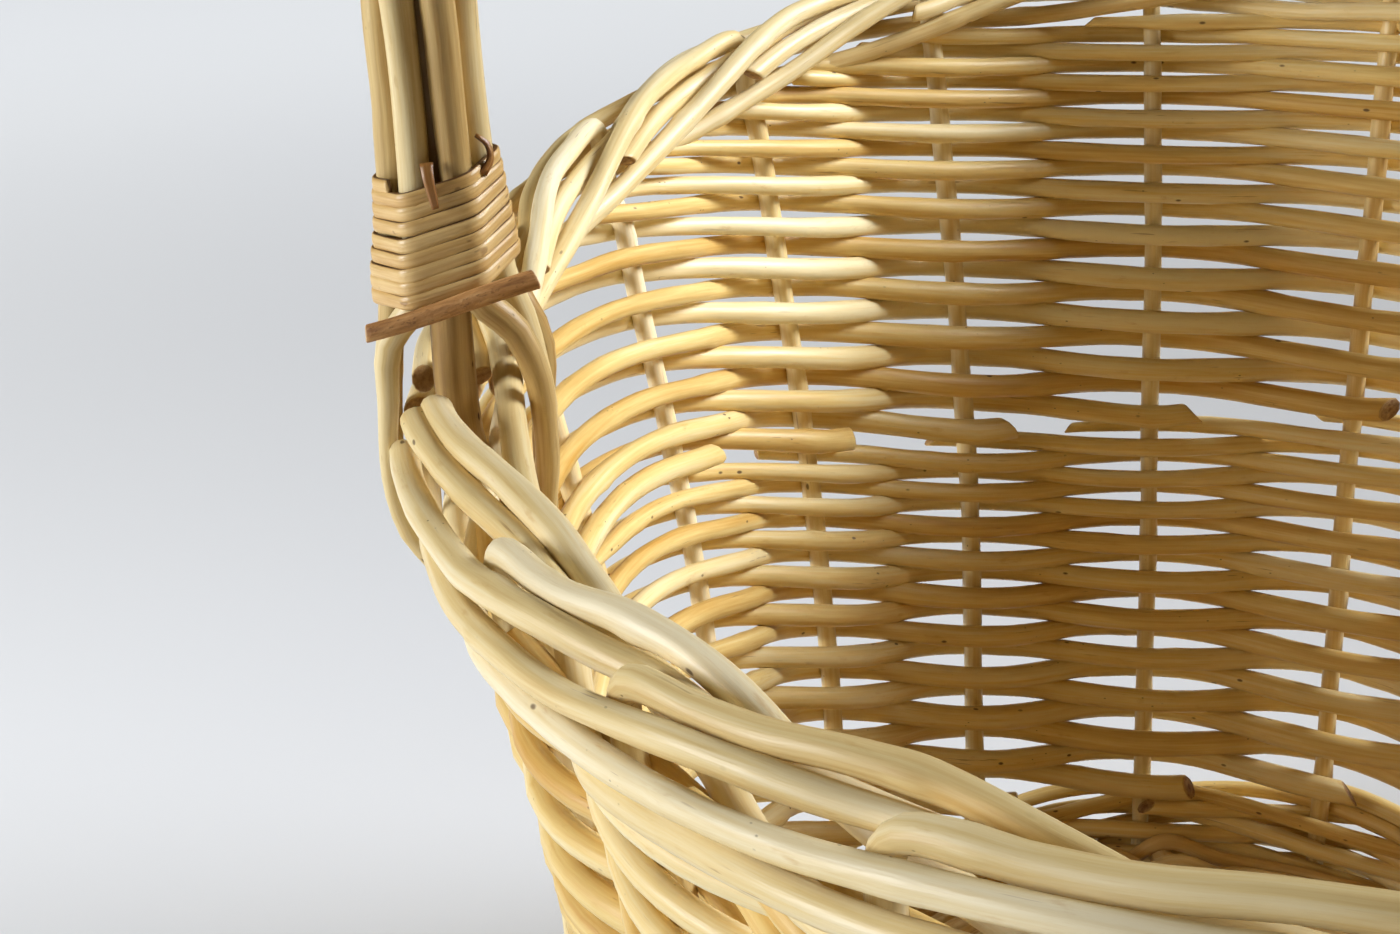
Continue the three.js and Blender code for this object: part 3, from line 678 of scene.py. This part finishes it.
# Rods laid between the long sticks, over and under the cross sticks, close the middle.
longs = sorted(at for along, at in sticks if along)
cross = sorted(at for along, at in sticks if not along)
step = longs[1] - longs[0]
for j, x0 in enumerate((longs[0] - step / 2, longs[0] + step / 2, longs[1] + step / 2, longs[2] + step / 2)):
    rng = rod_seed(12, j)
    end = 64.0 * math.sqrt(max(0.05, 1 - (x0 / 22.0) ** 2)) - 0.5
    t = np.linspace(-end, end, 70)
    lift = sum((1 if (h + j) % 2 else -1) * 5.3 * np.exp(-((t - at) / 6.0) ** 2) for h, at in enumerate(cross))
    z = STICK_Z + np.clip(lift, -5.4, 5.4) + 0.2 * Waver(rng, (30.0, 12.0))(t)
    mesh = Rods()
    mesh.add(np.stack([x0 + 0.2 * Waver(rng, (40.0, 17.0))(t), t, z], -1), max(1.6, step / 2 - 3.4), rng, sides=10,
             tone=rng.normal(0.1, 0.5), ends=((0.4, 0.0), (0.4, 3.0)))
    mesh.object("rod_base_middle_%d" % (j + 1), M_BASE, ["base_weave"])

# ---------------------------------------------------------------------- handle
def arch(u):
    t = math.pi * (1 - np.asarray(u, float))
    return np.stack([RIM_A * np.cos(t), 0 * t, LEG_TOP + ARCH_RISE * np.sin(t)], -1)


def arch_out(u):
    t = math.pi * (1 - np.asarray(u, float))
    v = np.stack([np.cos(t) / RIM_A, 0 * t, np.sin(t) / ARCH_RISE], -1)
    return v / np.linalg.norm(v, axis=-1)[..., None]


def mirrored(P):
    return np.asarray(P)[::-1] * (-1, -1, 1)


rng = rod_seed(9, 0)
leg = [np.array([-(RIM_A + float(wall_offset(z))), 0.0, z]) for z in (130.0, 160.0, 185.0, 205.0)] + [np.array([-RIM_A, 0, z]) for z in (228.0, 250.0)]
bow = through(np.vstack([leg, arch(np.linspace(0, 1, 25)), mirrored(leg)]), 5.0)
mesh = Rods()
# tone 0.5 pushes the bow's willow further towards amber: more painted shade.
mesh.add(bow, BOW_R, rng, sides=14, tone=0.5)
mesh.object("rod_handle_bow", M_BOW_PAINTED_SHADE, ["handle_bow"])

FOOT_OUT = [(5.4, -18.5), (8.6, -12.5), (10.4, -6.0), (10.7, -0.5), (9.7, 8.0), (8.6, 17.0)]
FOOT_IN = [(-10.8, -26.0), (-11.2, -14.0), (-12.0, -5.0), (-12.4, 3.0), (-12.0, 10.0), (-9.4, 17.5)]


def orbit_at(z):        # the rods stand a little wider at the foot of the binding
    return WRAP_ORBIT + 2.4 * smooth((251.0 - z) / 26.0)


def round_bow(phi, c, out):
    o = orbit_at(c[2])
    return c + o * math.cos(phi) * out + np.array([0, o * math.sin(phi), 0])


def wrap_line(i, rng):
    start = i / WRAPS * 2 * math.pi
    outer = math.cos(start) > 0
    spread = 6.4 * np.sign(round(math.sin(start) * 10))
    foot = FOOT_OUT if outer else FOOT_IN
    jit = rng.normal(0, 0.35, (len(foot), 2))
    left = [np.array([-(RIM_A + r + j[0]), spread + j[1], RIM_Z + up]) for (r, up), j in zip(foot, jit)]
    right = [np.array([RIM_A + r + j[1], spread + j[0], RIM_Z + up]) for (r, up), j in zip(foot, jit[::-1])]
    line = list(left)
    lw, rw = np.array([-1.0, 0, 0]), np.array([1.0, 0, 0])
    for z in (229.0, 241.0, 254.0):
        line.append(round_bow(start, np.array([-RIM_A, 0, z]), lw))
    for u in np.linspace(0, 1, 33):
        line.append(round_bow(start + 2 * math.pi * u, arch(u), arch_out(u)))
    for z in (254.0, 241.0, 229.0):
        line.append(round_bow(start, np.array([RIM_A, 0, z]), rw))
    return through(np.vstack([line, right[::-1]]), 4.0)


for i in range(WRAPS):
    rng = rod_seed(10, i)
    line = wrap_line(i, rng)
    L = np.linspace(0, 1, len(line))
    thin = np.minimum(smooth(L * 13 - 0.35), smooth((1 - L) * 13 - 0.35))
    mesh = Rods()
    mesh.add(line, (1.45 + (WRAP_R - 1.45) * thin) * rng.uniform(0.95, 1.06), rng, sides=14, tone=rng.normal(0.1, 0.5),
             ends=((1.2, rng.uniform(0, 6.28)), (1.2, rng.uniform(0, 6.28))))
    mesh.object("rod_handle_%d" % (i + 1), M_HANDLE_PAINTED_SHADE, ["handle_rod_%d" % (i + 1)])


# ------------------------------------------------------------------- bindings
def hull_round(z, lift, psi):
    """Outline of the bundle at height z, as drawn round by a tight strip."""
    o = orbit_at(z)
    q = np.abs((psi + math.pi / 6) % (math.pi / 3) - math.pi / 6)      # angle from the nearest rod
    over = o * np.cos(q) + np.sqrt(np.maximum(WRAP_R ** 2 - (o * np.sin(q)) ** 2, 0.0))
    span = (o * math.cos(math.pi / 6) + WRAP_R) / np.cos(math.pi / 6 - q)
    edge = np.arctan2(0.5 * WRAP_R, o + WRAP_R * math.cos(math.pi / 6))
    return np.where(q < edge, over, span) + lift


def strip(mesh, P, outward, width, thick, rng, tone):
    """A split skein: flat inside, slightly crowned outside, along the line P."""
    P = np.asarray(P, float)
    N = len(P)
    T = np.gradient(P, axis=0)
    T /= np.linalg.norm(T, axis=1)[:, None]
    O = outward - T * (outward * T).sum(1)[:, None]
    O /= np.linalg.norm(O, axis=1)[:, None]
    W = np.cross(T, O)
    L = np.r_[0.0, np.cumsum(np.linalg.norm(np.diff(P, axis=0), axis=1))]
    wid = np.broadcast_to(np.asarray(width, float), (N,)) * (1 + 0.06 * Waver(rng, (26.0, 11.0))(L))
    prof = [(-0.5, 0.0), (-0.5, 0.5), (-0.43, 0.86), (-0.2, 1.0), (0.2, 0.97), (0.43, 0.84), (0.5, 0.5), (0.5, 0.0)]
    rows, co, cut = [], [], []
    off = rng.uniform(-500, 500, 3)
    for a, b in prof:
        rows.append(P + W * (a * wid)[:, None] + O * (b * thick))
        co.append(np.stack([a * wid, np.full(N, b * thick), L], -1) + off)
        # the strip's sides get cut = 1, which the skein material paints dark brown: painted shade between the turns
        cut.append(np.full(N, 1.0 if abs(a) == 0.5 else 0.0))
    V = np.stack(rows, 1)
    m = len(prof)
    base = mesh.n
    mesh.v.append(V.reshape(-1, 3))
    mesh.co.append(np.stack(co, 1).reshape(-1, 3))
    mesh.cut.append(np.stack(cut, 1).reshape(-1))
    for i in range(N - 1):
        for j in range(m):
            k = (j + 1) % m
            mesh.f.append([base + i * m + j, base + i * m + k, base + (i + 1) * m + k, base + (i + 1) * m + j])
    mesh.f.append([base + j for j in range(m)][::-1])
    mesh.f.append([base + (N - 1) * m + j for j in range(m)])
    mesh.n += N * m
    mesh.tone.append(np.full(N * m, tone))


BIND_Z0, BIND_Z1, TURNS = RIM_Z + 23.2, RIM_Z + 41.4, 8
for side, sign in (("left", -1), ("right", 1)):
    rng = rod_seed(11, 0 if sign < 0 else 1)
    mesh = Rods()
    cx = sign * RIM_A
    pitch = (BIND_Z1 - BIND_Z0) / TURNS
    turn = np.linspace(0.0, TURNS + 0.3, TURNS * 90)
    psi = 2 * math.pi * (turn + 0.3)
    z = BIND_Z0 + pitch * (0.5 + turn * (TURNS - 1) / TURNS)
    step = np.array([rng.normal(0, 0.16) for _ in range(TURNS + 3)])
    z = z + np.interp(turn, np.arange(TURNS + 3), step)
    R = hull_round(z, 0.1 + 0.25 * np.abs(Waver(rng, (2.3, 0.9))(turn)), psi)
    # each turn lies higher towards the inside of the basket
    pts = np.stack([cx - sign * R * np.cos(psi), R * np.sin(psi), z + 2.3 * (R * np.cos(psi)) / 10.0], -1)
    away = pts - np.array([cx, 0, 0])
    away[:, 2] = 0
    strip(mesh, pts, away, pitch * 0.95, 0.8, rng, -0.3)
    # the strip's last end, tucked down under the turns, and a curl that stands off
    zt = BIND_Z1 - 0.3
    back = lambda P: [[cx + (q[0] - cx) * -sign, q[1] * -sign, q[2]] for q in P]
    tuck = through(back([[cx - 0.9, -7.2, zt + 1.9], [cx - 0.8, -8.3, zt + 0.3], [cx - 0.5, -8.7, zt - 1.8], [cx - 0.2, -8.8, zt - 3.9]]), 0.8)
    strip(mesh, tuck, np.repeat([[0.0, sign * 1.0, 0.12]], len(tuck), 0), np.linspace(1.9, 1.0, len(tuck)), 0.6, rng, 1.6)
    curl = through(back([[cx + 6.4, -5.2, zt - 0.6], [cx + 7.6, -4.6, zt + 1.2], [cx + 7.3, -4.3, zt + 3.2], [cx + 5.9, -4.5, zt + 4.6]]), 0.8)
    strip(mesh, curl, np.repeat([[-sign * 0.75, sign * 0.66, 0.2]], len(curl), 0), np.linspace(1.5, 0.5, len(curl)), 0.5, rng, 1.4)
    mesh.object("skein_" + side, M_SKEIN, ["binding_" + side])
    # bark peg, pushed through under the lowest turns
    lo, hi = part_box("binding_peg_" + side)
    mid = (np.array(lo) + np.array(hi)) * 500.0
    dirx = np.array([-sign * math.cos(0.225), 0.0, math.sin(0.225)])
    t = np.linspace(-12.1, 12.1, 30)
    line = mid[None] + t[:, None] * dirx[None]
    line[:, 0] += -sign * 0.6
    line[:, 2] += 0.35 * np.sin(t / 6.0) + 0.2
    line[:, 1] += sign * (-2.7 + 0.3 * np.cos(t / 7.0))
    peg = Rods()
    peg.add(line, 1.38 + 0.006 * t, rng, sides=12, tone=0.0, ends=((0.3, 0.5), (0.25, 2.0)))
    peg.object("peg_" + side, M_BARK, ["binding_peg_" + side])

# ----------------------------------------------------------------------- stage
me = bpy.data.meshes.new("floor")
edge = np.linspace(0, 2 * math.pi, 96, endpoint=False)
me.from_pydata([(1.6 * math.cos(t), 1.6 * math.sin(t), 0.0) for t in edge], [], [list(range(len(edge)))])
floor = bpy.data.objects.new("floor", me)
bpy.context.scene.collection.objects.link(floor)
F = Nodes("floor_paper")
tc = F.new("ShaderNodeTexCoord")
grey = F.noise(tc.outputs["Object"], 1.3, 2.0, 0.5)
F.link(F.ramp(grey, [(0.3, (0.50, 0.51, 0.53)), (0.7, (0.53, 0.54, 0.55))]), F.bsdf.inputs["Base Color"])
F.bsdf.inputs["Roughness"].default_value = 0.8
F.bsdf.inputs["Emission Color"].default_value = (0.93, 0.965, 1.0, 1.0)
F.bsdf.inputs["Emission Strength"].default_value = 0.20
me.materials.append(F.mat)

world = bpy.data.worlds.new("studio")
bpy.context.scene.world = world
world.use_nodes = True
bg = world.node_tree.nodes["Background"]
bg.inputs[0].default_value = (1.0, 0.67, 0.30, 1.0)
bg.inputs[1].default_value = 0.06
# seen straight on, the studio behind the floor is as pale as the floor
tree = world.node_tree
pale = tree.nodes.new("ShaderNodeBackground")
pale.inputs[0].default_value = (0.93, 0.965, 1.0, 1.0)
pale.inputs[1].default_value = 0.64
ray = tree.nodes.new("ShaderNodeLightPath")
both = tree.nodes.new("ShaderNodeMixShader")
tree.links.new(ray.outputs["Is Camera Ray"], both.inputs[0])
tree.links.new(bg.outputs[0], both.inputs[1])
tree.links.new(pale.outputs[0], both.inputs[2])
tree.links.new(both.outputs[0], tree.nodes["World Output"].inputs[0])


def aimed(ob, loc, target):
    ob.location = loc
    ob.rotation_euler = (Vector(target) - Vector(loc)).to_track_quat("-Z", "Y").to_euler()
    bpy.context.scene.collection.objects.link(ob)


def area(name, loc, target, size, power, color, spread=180.0):
    li = bpy.data.lights.new(name, "AREA")
    li.shape = "RECTANGLE"
    li.size, li.size_y = size
    li.spread = math.radians(spread)
    li.energy = power
    li.color = color
    aimed(bpy.data.objects.new(name, li), loc, target)


area("key", (0.84, 0.18, 0.74), (-0.15, 0.12, 0.19), (0.5, 0.5), 1.8, (0.95, 0.98, 1.03), 44.0)
area("side", (-0.96, -0.12, 0.42), (-0.16, -0.05, 0.19), (0.34, 0.34), 7.4, (0.98, 0.99, 1.0))
area("backdrop", (-0.25, 1.20, 1.30), (-0.25, 1.20, 0.0), (2.1, 1.0), 9.0, (0.94, 0.97, 1.0), 80.0)
area("floor_right", (1.45, 0.0, 1.30), (1.45, 0.0, 0.0), (0.9, 2.4), 8.0, (0.94, 0.97, 1.0), 80.0)
area("floor_left", (-1.45, 0.0, 1.30), (-1.45, 0.0, 0.0), (0.9, 2.4), 7.0, (0.94, 0.97, 1.0), 80.0)
area("floor_front", (0.0, -1.45, 1.30), (0.0, -1.45, 0.0), (2.4, 0.9), 8.0, (0.94, 0.97, 1.0), 80.0)

# ---------------------------------------------------------------------- camera
yaw, pitch, roll = (math.radians(v) for v in (3.895, 25.111, -3.060))
d = np.array([math.sin(yaw) * math.cos(pitch), math.cos(yaw) * math.cos(pitch), -math.sin(pitch)])
r = np.array([math.cos(yaw), -math.sin(yaw), 0.0])
u = np.cross(r, d)
r2 = math.cos(roll) * r + math.sin(roll) * u
u2 = -math.sin(roll) * r + math.cos(roll) * u
cam = bpy.data.cameras.new("camera")
cam.sensor_fit = "HORIZONTAL"
cam.sensor_width = 36.0
cam.lens = 2252.94 * 36.0 / 1400.0
cam.clip_start = 0.02
cam.clip_end = 50.0
co = bpy.data.objects.new("camera", cam)
co.matrix_world = Matrix(((r2[0], u2[0], -d[0], -0.12619), (r2[1], u2[1], -d[1], -0.30311), (r2[2], u2[2], -d[2], 0.3385), (0, 0, 0, 1)))
bpy.context.scene.collection.objects.link(co)
bpy.context.scene.camera = co

bpy.context.scene.view_settings.view_transform = "Standard"
bpy.context.scene.view_settings.look = "None"
bpy.context.scene.view_settings.exposure = 0.0
